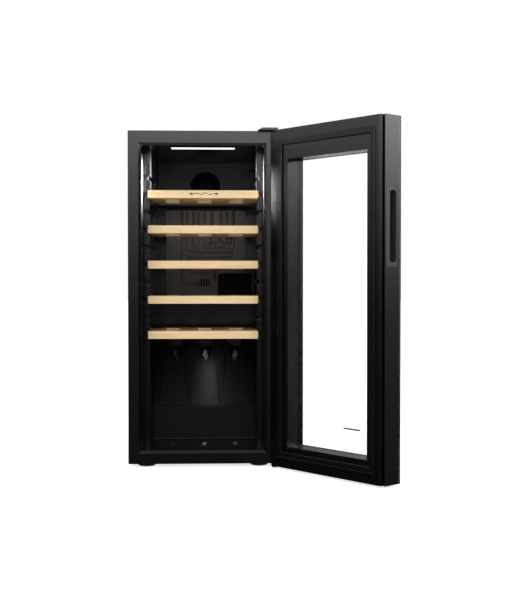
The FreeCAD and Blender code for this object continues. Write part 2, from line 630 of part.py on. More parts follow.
def hinges():
    under = "(foot_height - low_hinge_drop)"
    span = (deep("-hinge_reach"), deep("hinge_back"))
    screws = [("hinge_left + 8", deep(8)), ("hinge_left + 8", deep(32)), ("hinge_left + 24", deep(32))]
    plate = box(("hinge_left", SIDE), span, (ROOF, f"{ROOF} + hinge_steel"))
    holes = [rod("hinge_hole", "hinge_steel + 2", x, y, f"{ROOF} - 1") for x, y in screws]
    pin_hole = rod("pin_radius", "hinge_steel + 2", PIN_X, PIN_Y, f"{ROOF} - 1")
    node("top_hinge_plate", cut(plate, pin_hole, *holes))
    heads = [fuse(rod("hinge_head", "hinge_head_deep", x, y, f"{ROOF} + hinge_steel"),
                  rod("hinge_shank", "hinge_steel", x, y, ROOF)) for x, y in screws]
    node("hinge_screws", group(*heads))

    cap_top = f"{ROOF} + cap_height"
    cap = outline("xz", [
        ("cap_left", ROOF), ("cap_left + cap_slope", cap_top), (f"{SIDE} + cap_over", cap_top),
        (f"{SIDE} + cap_over", ROOF),
    ], deep("-hinge_reach - cap_margin"), deep("hinge_back + 2 * cap_margin"))
    seat = box(("hinge_left", SIDE), span, (f"{ROOF} - 1", f"{ROOF} + hinge_steel"))
    room = [rod("hinge_head + 0.2", "hinge_head_deep + 0.2", x, y, f"{ROOF} + hinge_steel - 0.1")
            for x, y in screws]
    lip = box(("lip_left", "lip_right"), (deep("-lip_out"), FRONT), (f"{ROOF} - lip_drop", f"{ROOF} + 0.5"))
    node("top_hinge_cover", cut(fuse(cap, lip), seat, *room))

    low_plate = box(("low_hinge_left", SIDE), span, (under, f"{under} + hinge_steel"))
    web = box(("low_hinge_left", SIDE), (deep("low_hinge_web"), deep("hinge_back")),
              (f"{under} + hinge_steel", FLOOR))
    low_hole = rod("pin_radius", "hinge_steel + 2", PIN_X, PIN_Y, f"{under} - 1")
    node("bottom_hinge_plate", cut(fuse(low_plate, web), low_hole))
    node("hinge_pins", group(
        rod("pin_radius", "pin_in_cabinet + hinge_steel", PIN_X, PIN_Y, f"{ROOF} - pin_in_cabinet"),
        rod("pin_radius", "pin_in_cabinet + 2", PIN_X, PIN_Y, under)))


# ---------------------------------------------------------------- feet and machinery

def feet():
    for name, side in (("front_left_foot", -1), ("front_right_foot", 1)):
        x = f"{side} * foot_half"
        disc = cone("foot_radius - foot_taper", "foot_radius", "foot_taper", x, deep("foot_place"))
        top = rod("foot_radius", "foot_disc - foot_taper", x, deep("foot_place"), "foot_taper")
        stud = rod("stud_radius", "stud_length", x, deep("foot_place"), "foot_disc - 1")
        node(name, fuse(disc, top, stud))
    node("rear_feet", group(*[rod("rear_foot_radius", FLOOR, f"{side} * foot_half", f"{BACK} - foot_place", 0)
                              for side in (-1, 1)]))


GROUND = f"({FLOOR} + base_steel)"


def compressor():
    """The pot on a tray that stands on four grommets, with its relay box."""
    grommets = [(f"pot_x + {i} * grommet_x", deep(f"pot_place + {j} * grommet_y"))
                for i in (-1, 1) for j in (-1, 1)]
    node("compressor_grommets", group(*[
        cut(rod("grommet_radius", "grommet_height", x, y, GROUND),
            rod("grommet_bore", "grommet_height + 2", x, y, f"{GROUND} - 1"))
        for x, y in grommets]))
    tray_low = f"{GROUND} + grommet_height"
    tray = box(("pot_x - tray_x", "pot_x + tray_x"), (deep("pot_place - tray_y"), deep("pot_place + tray_y")),
               (tray_low, f"{tray_low} + tray_steel"))
    pot = rounded(rod("pot_radius", "pot_height", "pot_x", deep("pot_place"), f"{tray_low} + 2"),
                  "pot_round", round_edges)
    stubs = [rod("tube_radius", "stub_length", f"pot_x + {side} * stub_x", deep("pot_place - pot_radius + 6"),
                 f"{GROUND} + stub_height", "y") for side in (-1, 1)]
    node("compressor", fuse(tray, pot, *stubs))
    relay = box(("pot_x + pot_radius + 0.5", "pot_x + pot_radius + 0.5 + relay_deep"),
                (deep("pot_place - relay_half"), deep("pot_place + relay_half")),
                (f"{GROUND} + relay_low", f"{GROUND} + relay_high"))
    node("start_relay_box", rounded(relay, "relay_round", edges_along(0)))


COIL_RUNS = 6
CONDENSER_WIRES = 9


def condenser():
    """A zigzag tube with upright wires across it, and the drier above."""
    coil_y = deep("cabinet_depth - coil_inset")
    coil = [rod("tube_radius", "coil_length", "coil_left", coil_y, f"coil_low + {n} * coil_pitch", "x")
            for n in range(COIL_RUNS)]
    half_turned = FreeCAD.Rotation(FreeCAD.Vector(1, 0, 0), 90)
    for n in range(COIL_RUNS - 1):
        right = n % 2 == 0
        bend = doc.addObject("Part::Torus", "Bend")
        bind(bend, Radius1="coil_pitch / 2", Radius2="tube_radius", Angle3=180)
        spin = FreeCAD.Rotation(FreeCAD.Vector(0, 1, 0), 90 if right else -90)
        bend.Placement = FreeCAD.Placement(FreeCAD.Vector(), spin.multiply(half_turned))
        place(bend, "coil_left + coil_length" if right else "coil_left", coil_y,
              f"coil_low + ({n} + 0.5) * coil_pitch")
        coil.append(bend)
    node("condenser_tube", fuse(*coil))
    wire_y = deep("cabinet_depth - coil_inset - tube_radius - wire_radius - 0.1")
    node("condenser_wires", group(*[
        rod("wire_radius", "wire_length", f"coil_left + 8 + {n} * wire_pitch", wire_y, "wire_low")
        for n in range(CONDENSER_WIRES)]))
    drier_y = deep("cabinet_depth - drier_inset")
    node("filter_drier", fuse(
        rod("drier_radius", "drier_length", "drier_left", drier_y, "drier_height", "x"),
        cone("drier_neck", "drier_radius", "drier_end",
             "drier_left - drier_end", drier_y, "drier_height", "x"),
        cone("drier_radius", "drier_neck", "drier_end",
             "drier_left + drier_length", drier_y, "drier_height", "x")))


VENT_COLUMNS, VENT_ROWS = 6, 11
INLET_BLADES = ((113, 46), (127, 46), (120, 51))  # the low left corner of each
COVER_SCREW_HEIGHTS = (26, 150, 268)


def bay_cover():
    """The slotted steel cover of the compressor bay, with the power inlet let into it."""
    cover_top = "(bay_low + bay_slope * (cabinet_depth - sheet_steel - bay_front) - 1)"
    grille = box((f"-{SIDE} + 4", f"{SIDE} - 4"), (f"{BACK} - sheet_steel", BACK),
                 (f"{FLOOR} + 4", cover_top))
    through = (f"{BACK} - 3", f"{BACK} + 1")
    vents = []
    for column in range(VENT_COLUMNS):
        for row in range(VENT_ROWS):
            left, low = f"vent_left + {column} * vent_pitch", f"vent_low + {row} * vent_rise"
            vents.append(box((left, f"{left} + vent_width"), through, (low, f"{low} + vent_height")))
    across, up = ("inlet_left", "inlet_right"), ("inlet_low", "inlet_high")
    node("bay_cover", cut(grille, box(across, through, up), *vents))
    housing = box(across, (f"{BACK} - inlet_deep", f"{BACK} + 1"), up)
    recess = box(("inlet_left + recess_x", "inlet_right - recess_x"),
                 (f"{BACK} - recess_deep", f"{BACK} + 2"),
                 ("inlet_low + recess_z", "inlet_high - recess_z"))
    blades = [box((x, f"{x} + blade_width"), (f"{BACK} - recess_deep - 1", f"{BACK} - 3"),
                  (z, f"{z} + blade_height"))
              for x, z in INLET_BLADES]
    node("power_inlet", fuse(cut(housing, recess), *blades))
    node("cover_screws", group(*[
        rod("cover_screw", "cover_screw_deep", f"{side} * ({SIDE} - 10)", BACK, z, "y")
        for side in (-1, 1) for z in COVER_SCREW_HEIGHTS]))


for build in (front_frame, shell, liner, foam, shelf_guides, light, fan, evaporator, lower_compartment,
              shelves, door, hinges, feet, compressor, condenser, bay_cover):
    build()

doc.recompute()
for item in doc.Objects:
    if "Invalid" in item.State or "Error" in item.State:
        raise RuntimeError(f"{item.Label} did not compute: {item.State}")
os.makedirs("parts", exist_ok=True)
for item in NODES:
    if item.Shape.isNull() or not item.Shape.isValid():
        raise RuntimeError(f"{item.Label} has no valid shape")
    item.Shape.exportStep(f"parts/{item.Label}.step")
print(len(NODES), "nodes written")
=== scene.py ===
"""The wine cooler's looks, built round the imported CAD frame. Metres, +Z up, -Y is the front."""
import bmesh
import bpy
import json
import math
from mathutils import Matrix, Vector

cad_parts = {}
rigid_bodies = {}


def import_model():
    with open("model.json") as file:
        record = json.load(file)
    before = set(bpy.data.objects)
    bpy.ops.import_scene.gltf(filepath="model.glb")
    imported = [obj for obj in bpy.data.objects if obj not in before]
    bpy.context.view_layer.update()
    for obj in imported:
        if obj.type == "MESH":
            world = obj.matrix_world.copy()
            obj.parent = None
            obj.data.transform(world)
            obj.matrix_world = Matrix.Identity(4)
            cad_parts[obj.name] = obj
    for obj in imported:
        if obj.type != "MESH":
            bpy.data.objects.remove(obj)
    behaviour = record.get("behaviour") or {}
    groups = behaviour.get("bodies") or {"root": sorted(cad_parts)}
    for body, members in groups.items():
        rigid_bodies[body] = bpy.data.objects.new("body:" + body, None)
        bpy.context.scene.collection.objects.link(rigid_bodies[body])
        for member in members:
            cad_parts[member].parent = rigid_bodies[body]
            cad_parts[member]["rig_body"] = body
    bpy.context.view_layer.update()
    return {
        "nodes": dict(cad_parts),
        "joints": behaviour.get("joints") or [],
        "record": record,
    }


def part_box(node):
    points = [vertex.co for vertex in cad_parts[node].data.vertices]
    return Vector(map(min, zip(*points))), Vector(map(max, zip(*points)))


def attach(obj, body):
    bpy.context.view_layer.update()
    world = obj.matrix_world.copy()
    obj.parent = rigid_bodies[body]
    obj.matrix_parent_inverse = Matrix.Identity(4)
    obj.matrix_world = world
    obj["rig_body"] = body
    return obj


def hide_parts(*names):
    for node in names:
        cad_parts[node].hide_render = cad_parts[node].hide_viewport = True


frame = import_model()
NODES = frame["nodes"]
SLOT_OF = {part["node"]: part["material_slot"] for part in frame["record"]["subparts"]}
JOINT = {joint["name"]: joint for joint in frame["joints"]}
MM = 0.001


# ---------------------------------------------------------------- material helpers

class Shader:
    """A node tree with a Principled shader at its end."""

    def __init__(self, name):
        self.material = bpy.data.materials.new(name)
        self.material.use_nodes = True
        self.tree = self.material.node_tree
        self.tree.nodes.clear()
        self.output = self.tree.nodes.new("ShaderNodeOutputMaterial")
        self.surface = self.tree.nodes.new("ShaderNodeBsdfPrincipled")
        self.join(self.surface.outputs["BSDF"], self.output.inputs["Surface"])
        self.place = None

    def join(self, source, target):
        self.tree.links.new(source, target)

    def set(self, **values):
        for name, value in values.items():
            self.surface.inputs[name.replace("_", " ")].default_value = value
        return self

    def add(self, kind, **settings):
        made = self.tree.nodes.new(kind)
        for name, value in settings.items():
            setattr(made, name, value)
        return made

    def space(self, scale=(1, 1, 1)):
        """Object coordinates, stretched."""
        if self.place is None:
            self.place = self.add("ShaderNodeTexCoord")
        stretch = self.add("ShaderNodeMapping")
        stretch.inputs["Scale"].default_value = scale
        self.join(self.place.outputs["Object"], stretch.inputs["Vector"])
        return stretch.outputs["Vector"]

    def noise(self, scale, stretch=(1, 1, 1), detail=4.0, roughness=0.55):
        made = self.add("ShaderNodeTexNoise")
        made.inputs["Scale"].default_value = scale
        made.inputs["Detail"].default_value = detail
        made.inputs["Roughness"].default_value = roughness
        self.join(self.space(stretch), made.inputs["Vector"])
        return made.outputs["Fac"]

    def ramp(self, source, *stops):
        """Colours or values along a 0 to 1 input: each stop is a place and a colour."""
        made = self.add("ShaderNodeValToRGB")
        elements = made.color_ramp.elements
        for element, (place, colour) in ((elements[0], stops[0]), (elements[1], stops[-1])):
            element.position, element.color = place, rgba(colour)
        for place, colour in stops[1:-1]:
            elements.new(place).color = rgba(colour)
        self.join(source, made.inputs["Fac"])
        return made.outputs["Color"]

    def mix(self, factor, first, second):
        made = self.add("ShaderNodeMix", data_type="RGBA")
        for name, value in (("Factor", factor), ("A", first), ("B", second)):
            socket = made.inputs[name]
            if isinstance(value, (float, int)):
                socket.default_value = value
            elif isinstance(value, tuple):
                socket.default_value = rgba(value)
            else:
                self.join(value, socket)
        return made.outputs["Result"]

    def colour(self, source):
        self.join(source, self.surface.inputs["Base Color"])
        return self

    def rough(self, source, low, high):
        spread = self.ramp(source, (0.3, (low,) * 3), (0.7, (high,) * 3))
        self.join(spread, self.surface.inputs["Roughness"])
        return self

    def bump(self, source, strength, distance):
        made = self.add("ShaderNodeBump")
        made.inputs["Strength"].default_value = strength
        made.inputs["Distance"].default_value = distance
        self.join(source, made.inputs["Height"])
        self.join(made.outputs["Normal"], self.surface.inputs["Normal"])
        return self


def rgba(colour):
    return (*colour, 1.0) if len(colour) == 3 else colour


def moulded(name, colour, rough, grain=2600, depth=0.00002, shine=0.5):
    """Moulded plastic or paint: a fine pebble grain, and faint clouds in tone and gloss."""
    look = Shader(name).set(Specular_IOR_Level=shine)
    lighter = tuple(channel * 1.25 for channel in colour)
    look.colour(look.ramp(look.noise(9, detail=3), (0.35, colour), (0.7, lighter)))
    look.rough(look.noise(40, detail=5), rough - 0.02, rough + 0.03)
    return look.bump(look.noise(grain, detail=2), 0.35, depth)


def metal(name, colour, rough, stretch=(1, 1, 1)):
    """Bare metal with fine streaks, which the stretch draws out."""
    look = Shader(name).set(Metallic=1.0)
    darker = tuple(channel * 0.82 for channel in colour)
    streaks = look.noise(300, stretch, detail=5)
    look.colour(look.ramp(streaks, (0.3, darker), (0.7, colour)))
    look.rough(streaks, rough - 0.06, rough + 0.08)
    return look.bump(streaks, 0.15, 0.00003)


def beech(name):
    """Pale beech: long soft figure along X, short dark flecks, a thin lacquer."""
    look = Shader(name).set(Coat_Weight=0.12, Coat_Roughness=0.3)
    figure = look.noise(7, (0.5, 9, 9), detail=6, roughness=0.6)
    base = look.ramp(figure, (0.25, (0.73, 0.49, 0.255)), (0.5, (0.82, 0.58, 0.315)),
                     (0.8, (0.89, 0.665, 0.39)))
    short = look.noise(110, (0.16, 2.6, 2.6), detail=2)
    flecks = look.ramp(short, (0.57, (0, 0, 0)), (0.68, (1, 1, 1)))
    fibre = look.noise(420, (0.05, 1.6, 1.6), detail=4)
    toned = look.mix(flecks, base, (0.58, 0.36, 0.19))
    soft = look.mix(0.3, base, toned)
    threads = look.ramp(fibre, (0.3, (0.45, 0.28, 0.15)), (0.7, (0.95, 0.78, 0.56)))
    look.colour(look.mix(0.14, soft, threads))
    look.rough(fibre, 0.38, 0.52)
    return look.bump(fibre, 0.25, 0.0001)


def clear_glass(name):
    """Clear glass with a trace of haze."""
    look = Shader(name).set(Base_Color=(1, 1, 1, 1), Transmission_Weight=1.0, IOR=1.45)
    haze = look.noise(3, detail=2)
    look.rough(haze, 0.0, 0.02)
    return look


def lit(name, colour, strength):
    """A lens or a mark that glows."""
    look = Shader(name).set(Base_Color=rgba(colour), Emission_Strength=strength, Roughness=0.4)
    dimmer = tuple(channel * 0.97 for channel in colour)
    glow = look.ramp(look.noise(30), (0.0, dimmer), (1.0, colour))
    look.join(glow, look.surface.inputs["Emission Color"])
    return look


MATERIALS = {
    "frame_plastic": moulded("frame_plastic", (0.0042, 0.0042, 0.0043), 0.15, shine=1.0),
    "shell_paint": moulded("shell_paint", (0.0042, 0.0042, 0.0043), 0.22, grain=900, depth=0.00006,
                           shine=0.8),
    "liner_plastic": moulded("liner_plastic", (0.0048, 0.0048, 0.0049), 0.15, grain=1800, depth=0.00001,
                             shine=0.8),
    "foam": moulded("foam", (0.62, 0.50, 0.26), 0.9, grain=500, depth=0.0006),
    "lamp_lens": lit("lamp_lens", (1.0, 0.985, 0.95), 1.15),
    "panel_plastic": moulded("panel_plastic", (0.026, 0.030, 0.037), 0.42),
    "fan_plastic": moulded("fan_plastic", (0.0022, 0.0023, 0.0026), 0.5, shine=0.15),
    "evaporator_metal": moulded("evaporator_metal", (0.108, 0.102, 0.093), 0.40, grain=700,
                                depth=0.00008),
    "plain_steel": metal("plain_steel", (0.52, 0.52, 0.53), 0.32, (1, 12, 1)),
    "black_steel": moulded("black_steel", (0.006, 0.006, 0.007), 0.35),
    "foot_rubber": moulded("foot_rubber", (0.010, 0.010, 0.010), 0.6, grain=1400),
    "pot_paint": moulded("pot_paint", (0.008, 0.008, 0.008), 0.22, grain=500),
    "copper_tube": metal("copper_tube", (0.86, 0.46, 0.30), 0.30),
    "door_plastic": moulded("door_plastic", (0.0042, 0.0042, 0.0043), 0.14, shine=1.0),
    "gasket_rubber": moulded("gasket_rubber", (0.0045, 0.0045, 0.0046), 0.24, grain=1500, shine=0.6),
    "window_glass": clear_glass("window_glass"),
    "spacer_metal": moulded("spacer_metal", (0.006, 0.006, 0.006), 0.25, shine=0.9),
    "handle_plastic": moulded("handle_plastic", (0.0055, 0.0055, 0.0057), 0.15, shine=1.0),
    "display_panel": moulded("display_panel", (0.004, 0.004, 0.005), 0.12, depth=0.00001),
    "bush_plastic": moulded("bush_plastic", (0.60, 0.60, 0.57), 0.4),
    "beech": beech("beech"),
}
# looks for a part of a node, for ink, and a look of painted shade
BURNT = moulded("burnt_wood", (0.07, 0.03, 0.014), 0.6, grain=900)
GREY_INK = moulded("grey_ink", (0.30, 0.30, 0.30), 0.5)
MARKS = lit("display_light", (0.55, 0.75, 1.0), 1.2)
# painted shade: a near-black, barely glossy look put where there is only shade, beside the plate's channels,
# in the door's seal groove and behind the fan
PAINTED_SHADE = moulded("painted_shade", (0.0028, 0.0025, 0.0022), 0.6, shine=0.05)
POCKET = moulded("pocket_plastic", (0.030, 0.030, 0.031), 0.35, shine=0.6)
COOL_GLOSS = (0.92, 0.955, 1.0, 1.0)
MATTE_LINER = moulded("liner_matte", (0.0078, 0.0078, 0.0079), 0.42, grain=1400, shine=0.18)
# the bottle rest's channels: the same liner plastic in a paler colour, as painted light, and a little
# glossier
CHANNEL_LINER_PAINTED_LIGHT = moulded("liner_channel_painted_light", (0.010, 0.0101, 0.0104), 0.38, grain=1400, shine=0.3)
NECK_LINER = moulded("liner_neck", (0.004, 0.004, 0.0042), 0.15, grain=1400, shine=1.0)
for look in (MATTE_LINER, CHANNEL_LINER_PAINTED_LIGHT):
    look.set(Specular_Tint=COOL_GLOSS)


def paint(obj, *looks):
    obj.data.materials.clear()
    for look in looks:
        obj.data.materials.append(look.material)


for name, obj in NODES.items():
    paint(obj, MATERIALS[SLOT_OF[name]])


# ---------------------------------------------------------------- finished copies of CAD nodes

WELD, NEARLY_FLAT = 0.001 * MM, math.radians(0.6)
EDGE_SEGMENTS, EDGE_ANGLE, SMOOTH_BELOW = 3, math.radians(28), 35


def made_object(name, work, mesh=None):
    """An object in the scene, whose mesh is a new one or the one given, filled from a bmesh."""
    mesh = mesh or bpy.data.meshes.new(name)
    work.to_mesh(mesh)
    work.free()
    made = bpy.data.objects.new(name, mesh)
    bpy.context.scene.collection.objects.link(made)
    return made


def smooth(piece, degrees):
    """Smooth shading, which keeps the edges that turn by more than the angle."""
    piece.data.polygons.foreach_set("use_smooth", [True] * len(piece.data.polygons))
    piece.data.set_sharp_from_angle(angle=math.radians(degrees))


def softened(name, width):
    """A finished copy of a CAD node, with its sharp edges rounded, that stands for it."""
    source = NODES[name]
    work = bmesh.new()
    work.from_mesh(source.data)
    bmesh.ops.remove_doubles(work, verts=work.verts, dist=WELD)
    bmesh.ops.dissolve_limit(work, angle_limit=NEARLY_FLAT, verts=work.verts, edges=work.edges)
    piece = made_object(f"{name}_finished", work, source.data.copy())
    bevel = piece.modifiers.new("edges", "BEVEL")
    bevel.width = width
    bevel.segments = EDGE_SEGMENTS
    bevel.limit_method = "ANGLE"
    bevel.angle_limit = EDGE_ANGLE
    bevel.harden_normals = False
    smooth(piece, SMOOTH_BELOW)
    even = piece.modifiers.new("shading", "WEIGHTED_NORMAL")
    even.keep_sharp = True
    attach(piece, source["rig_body"])
    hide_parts(name)
    paint(piece, MATERIALS[SLOT_OF[name]])
    return piece


# how wide each node's edges are rounded, in mm
SOFT_EDGES = {
    "front_frame": 0.8, "bottle_rest": 1.6, "left_shelf_guide": 1.3, "right_shelf_guide": 1.3,
    "door_gasket": 1.6, "fan_panel": 0.8, "sensor_cover": 1.5, "top_hinge_cover": 0.8,
    "handle_profile": 0.8, "handle_pocket": 1.0, "door_inner_cover": 0.8, "door_frame": 0.6,
    "led_housing": 0.8, "outer_glass": 0.3,
}
for number in range(1, 6):
    SOFT_EDGES[f"shelf_{number}_front_rail"] = 1.4
    SOFT_EDGES[f"shelf_{number}_rack"] = 1.2
FINISHED = {name: softened(name, width * MM) for name, width in SOFT_EDGES.items()}

# on the bottle rest, a face is told by how far it turns from the slope, in degrees, how much it faces up
# and how far back it is
CHANNEL_TURN, CHANNEL_FACES_UP = 0.8, 0.5
NECK_TURN, NECK_FACES_UP, NECKS_FROM_Y = 6, 0.02, 0.03


def paint_bottle_rest():
    """The rest is matter than the walls. Its channels are paler, as painted light, and its neck holes glossy.
    """
    rest = FINISHED["bottle_rest"]
    paint(rest, MATTE_LINER, CHANNEL_LINER_PAINTED_LIGHT, NECK_LINER)
    faces = rest.data.polygons
    facing_up = (face for face in faces if face.normal.z > CHANNEL_FACES_UP)
    slope = max(facing_up, key=lambda face: face.area).normal.copy()
    for face in faces:
        turned = math.degrees(face.normal.angle(slope))
        if turned > NECK_TURN and face.normal.z > NECK_FACES_UP and face.center.y > NECKS_FROM_Y:
            face.material_index = 2
        else:
            face.material_index = 1 if turned > CHANNEL_TURN and face.normal.z > CHANNEL_FACES_UP else 0


GROOVE_FROM, GROOVE_TO, SAME_WAY = 1.5 * MM, 2.5 * MM, 0.99


def paint_seal_groove():
    """The gasket's groove, 2 mm below the door's inner face, is painted near-black as painted shade."""
    cover = FINISHED["door_inner_cover"].data
    cover.materials.append(PAINTED_SHADE.material)
    inner = max(cover.polygons, key=lambda face: face.area)
    out, level = inner.normal.copy(), inner.normal.dot(inner.center)
    for face in cover.polygons:
        sunk = level - out.dot(face.center)
        if face.normal.dot(out) > SAME_WAY and GROOVE_FROM < sunk < GROOVE_TO:
            face.material_index = 1


paint_bottle_rest()
paint_seal_groove()
paint(NODES["capillary_clip"], MATTE_LINER)
paint(FINISHED["handle_pocket"], POCKET)


# ---------------------------------------------------------------- mesh helpers

def new_piece(name, work, body, slot, *looks):
    """A mesh piece from a bmesh, riding on a body. It has its slot's look, or the looks given."""
    bmesh.ops.recalc_face_normals(work, faces=work.faces)
    piece = made_object(name, work)
    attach(piece, body)
    paint(piece, *(looks or (MATERIALS[slot],)))
    return piece


def rounded_path(corners, radius):
    """A flat path through the corners, each of them rounded."""
    steps = 6
    points = [Vector(corners[0])]
    for before, corner, after in zip(corners, corners[1:], corners[2:]):
        into, out = (before - corner).normalized(), (after - corner).normalized()
        reach = min(radius, (before - corner).length / 2, (after - corner).length / 2)
        for step in range(steps + 1):
            t = step / steps
            points.append((1 - t) ** 2 * (corner + into * reach) + 2 * t * (1 - t) * corner
                          + t ** 2 * (corner + out * reach))
    points.append(Vector(corners[-1]))
    return points


def circle(across, up, radius, sides=20):
    turns = (2 * math.pi * n / sides for n in range(sides))
    return [(across + radius * math.cos(a), up + radius * math.sin(a)) for a in turns]


def pill(across, up, length, height):
    """A rectangle with half-round ends."""
    steps, radius, half = 6, height / 2, length / 2 - height / 2
    right = [(across + half + radius * math.cos(a), up + radius * math.sin(a))
             for a in (math.pi * (n / steps - 0.5) for n in range(steps + 1))]
    return right + [(2 * across - x, 2 * up - z) for x, z in right]


def skin(work, first, second):
    """Faces between two rings of points, closed round."""
    for n in range(len(first)):
        m = (n + 1) % len(first)
        work.faces.new((first[n], first[m], second[m], second[n]))


def prism(work, *ends):
    """A closed block between two outlines with as many points each."""
    first, second = ([work.verts.new(point) for point in end] for end in ends)
    work.faces.new(first)
    work.faces.new(list(reversed(second)))
    skin(work, first, second)


def slab(work, low, high, corner):
    """A block from low to high whose edges along Y are rounded."""
    steps, outline = 5, []
    for cx, cz, start in ((high[0] - corner, high[2] - corner, 0), (low[0] + corner, high[2] - corner, 90),
                          (low[0] + corner, low[2] + corner, 180), (high[0] - corner, low[2] + corner, 270)):
        for step in range(steps + 1):
            turn = math.radians(start + 90 * step / steps)
            outline.append((cx + corner * math.cos(turn), cz + corner * math.sin(turn)))
    prism(work, *([(x, y, z) for x, z in outline] for y in (low[1], high[1])))


# A place is a function from (across, out, up) to a point: across and up on a face, and out from it.

def facing_front(y):
    """A place on a face that looks to the front."""
    return lambda across, out, up: (across, y - out, up)


def extruded(work, outline, place, thickness):
    """A flat outline with thickness."""
    prism(work, *([place(across, out, up) for across, up in outline] for out in (0, thickness)))


def with_sides(points):
    """Each point of a path, and the direction across the path there."""
    for n, point in enumerate(points):
        ahead = points[min(n + 1, len(points) - 1)] - points[max(n - 1, 0)]
        yield point, Vector((-ahead.y, ahead.x)).normalized()


def swept(work, points, section, place):
    """A raised line along flat points: the section is (sideways, outward, material) points."""
    rings = [[work.verts.new(place(point.x + side.x * across, out, point.y + side.y * across))
              for across, out, _ in section] for point, side in with_sides(points)]
    for first, second in zip(rings, rings[1:]):
        for n in range(len(section) - 1):
            face = work.faces.new((first[n], first[n + 1], second[n + 1], second[n]))
            face.material_index = section[n][2]
            face.smooth = True
    for end in (rings[0], rings[-1]):
        work.faces.new(end)


def stroke(work, points, width, place, thickness):
    """A closed thin line of even width through flat points."""
    half = width / 2
    corners = ((half, 0), (half, thickness), (-half, thickness), (-half, 0))
    rings = [[work.verts.new(place(point.x + side.x * across, out, point.y + side.y * across))
              for across, out in corners] for point, side in with_sides(points)]
    for first, second in zip(rings, rings[1:]):
        skin(work, first, second)
    work.faces.new(rings[0])
    work.faces.new(list(reversed(rings[-1])))


# ---------------------------------------------------------------- the cold plate and its channels

PLATE_LOW, PLATE_HIGH, PLATE_CORNER = (-0.10775, 0.178, 0.398), (0.10775, 0.1795, 0.636), 0.004
CHANNEL_TOP = 633
# a channel's section: a thin strip of painted shade on each side (material 1), for the shade at the channel's
# edges, and the raised channel between them (material 0)
SHADE_STRIP_EDGE, CHANNEL_FOOT, CHANNEL_CREST = 0.0046, 0.0019, 0.0010
SHADE_STRIP_RISE, CHANNEL_RISE = 0.0003, 0.0022
CHANNEL = [
    (-SHADE_STRIP_EDGE, 0.0, 1), (-SHADE_STRIP_EDGE, SHADE_STRIP_RISE, 1), (-CHANNEL_FOOT, SHADE_STRIP_RISE, 0),
    (-CHANNEL_CREST, CHANNEL_RISE, 0), (CHANNEL_CREST, CHANNEL_RISE, 0),
    (CHANNEL_FOOT, SHADE_STRIP_RISE, 1), (SHADE_STRIP_EDGE, SHADE_STRIP_RISE, 1), (SHADE_STRIP_EDGE, 0.0, 1),
]


def on_plate(*places):
    """Places on the plate, in mm across and up, as metres."""
    return [Vector((x * MM, z * MM)) for x, z in places]


def cold_plate():
    """The evaporator: a plate with raised channels, each edged by a thin strip of painted shade."""
    work = bmesh.new()
    slab(work, PLATE_LOW, PLATE_HIGH, PLATE_CORNER)
    top = CHANNEL_TOP
    lines = [
        ([(-63.5, top), (-63.5, 437), (-14, 437)], 10),
        ([(-50, top), (-50, 532), (-33, 524.5), (71, 524.5), (71, 511), (-44.5, 511), (-44.5, 469), (11, 469),
          (11, 500)], 6),
        ([(-33, top), (-33, 535), (-19.5, 535), (-19.5, top)], 5),
        ([(-3, top), (-3, 536), (75, 536), (75, top)], 5),
        ([(17, top), (17, 566), (34, 566), (34, 553), (12, 553)], 4),
        ([(41, top), (41, 556), (50, 545), (58, 556), (58, top)], 3),
        ([(24, 500), (24, 445)], 3),
        ([(5, 566), (14, 557), (5, 548), (14, 545)], 3),
        ([(62, 566), (69, 557), (62, 548), (69, 545)], 3),
    ]
    for corners, radius in lines:
        swept(work, rounded_path(on_plate(*corners), radius * MM), CHANNEL, facing_front(PLATE_LOW[1]))
    plate = new_piece("cold_plate_with_channels", work, "cabinet", "evaporator_metal",
                      MATERIALS["evaporator_metal"], PAINTED_SHADE)
    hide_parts("evaporator_plate")
    return plate


COLD_PLATE = cold_plate()


# ---------------------------------------------------------------- small parts

# the door rests open, and its joint's lower limit is the closed door
DOOR_OPEN = math.radians(-JOINT["door_hinge"]["range_deg"][0])
PIN_INSET, PIN_FORWARD = 0.005, 0.0085
INK = 0.00015


def on_door(from_hinge, outward, up):
    """A point on the open door: from its hinge edge, out from its inner face, and up."""
    pin = JOINT["door_hinge"]["pos_m"]
    along, out = PIN_INSET - from_hinge, PIN_FORWARD - outward
    return Vector((pin[0] + along * math.cos(DOOR_OPEN) - out * math.sin(DOOR_OPEN),
                   pin[1] + along * math.sin(DOOR_OPEN) + out * math.cos(DOOR_OPEN), up))


def facing_out(outward):
    """A place on the open door, so far out from its inner face."""
    return lambda across, out, up: on_door(across, outward + out, up)


FLOURISH_UP, FLOURISH_CENTRE = 0.6552, 2      # the centre and the sizes below in mm
WAVE_HEIGHT, WAVE_SPAN, WAVE_LENGTH, WAVE_FADE = 2.6, range(-29, 32), 3.6, 36
LEAF_OUT, LEAF_LENGTH, LEAF_HEIGHT, LEAF_SIDES = 31, 4.2, 2.2, 16


def shelf_flourish():
    """A plain wavy ornament burnt into the top rail. It spells nothing."""
    work = bmesh.new()
    place = facing_front(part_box("shelf_1_front_rail")[0].y)

    def height(x):
        return WAVE_HEIGHT * math.sin(x / WAVE_LENGTH) * (1 - abs(x - FLOURISH_CENTRE) / WAVE_FADE)

    wave = [Vector((x * MM, FLOURISH_UP + height(x) * MM)) for x in WAVE_SPAN]
    stroke(work, wave, 0.0015, place, INK)
    for side in (-1, 1):
        leaf = [((FLOURISH_CENTRE + side * (LEAF_OUT + LEAF_LENGTH * math.cos(a))) * MM,
                 FLOURISH_UP + LEAF_HEIGHT * MM * math.sin(a))
                for a in (2 * math.pi * n / LEAF_SIDES for n in range(LEAF_SIDES))]
        extruded(work, leaf, place, INK)
    new_piece("top_rail_flourish", work, "shelf_1", "beech", BURNT)


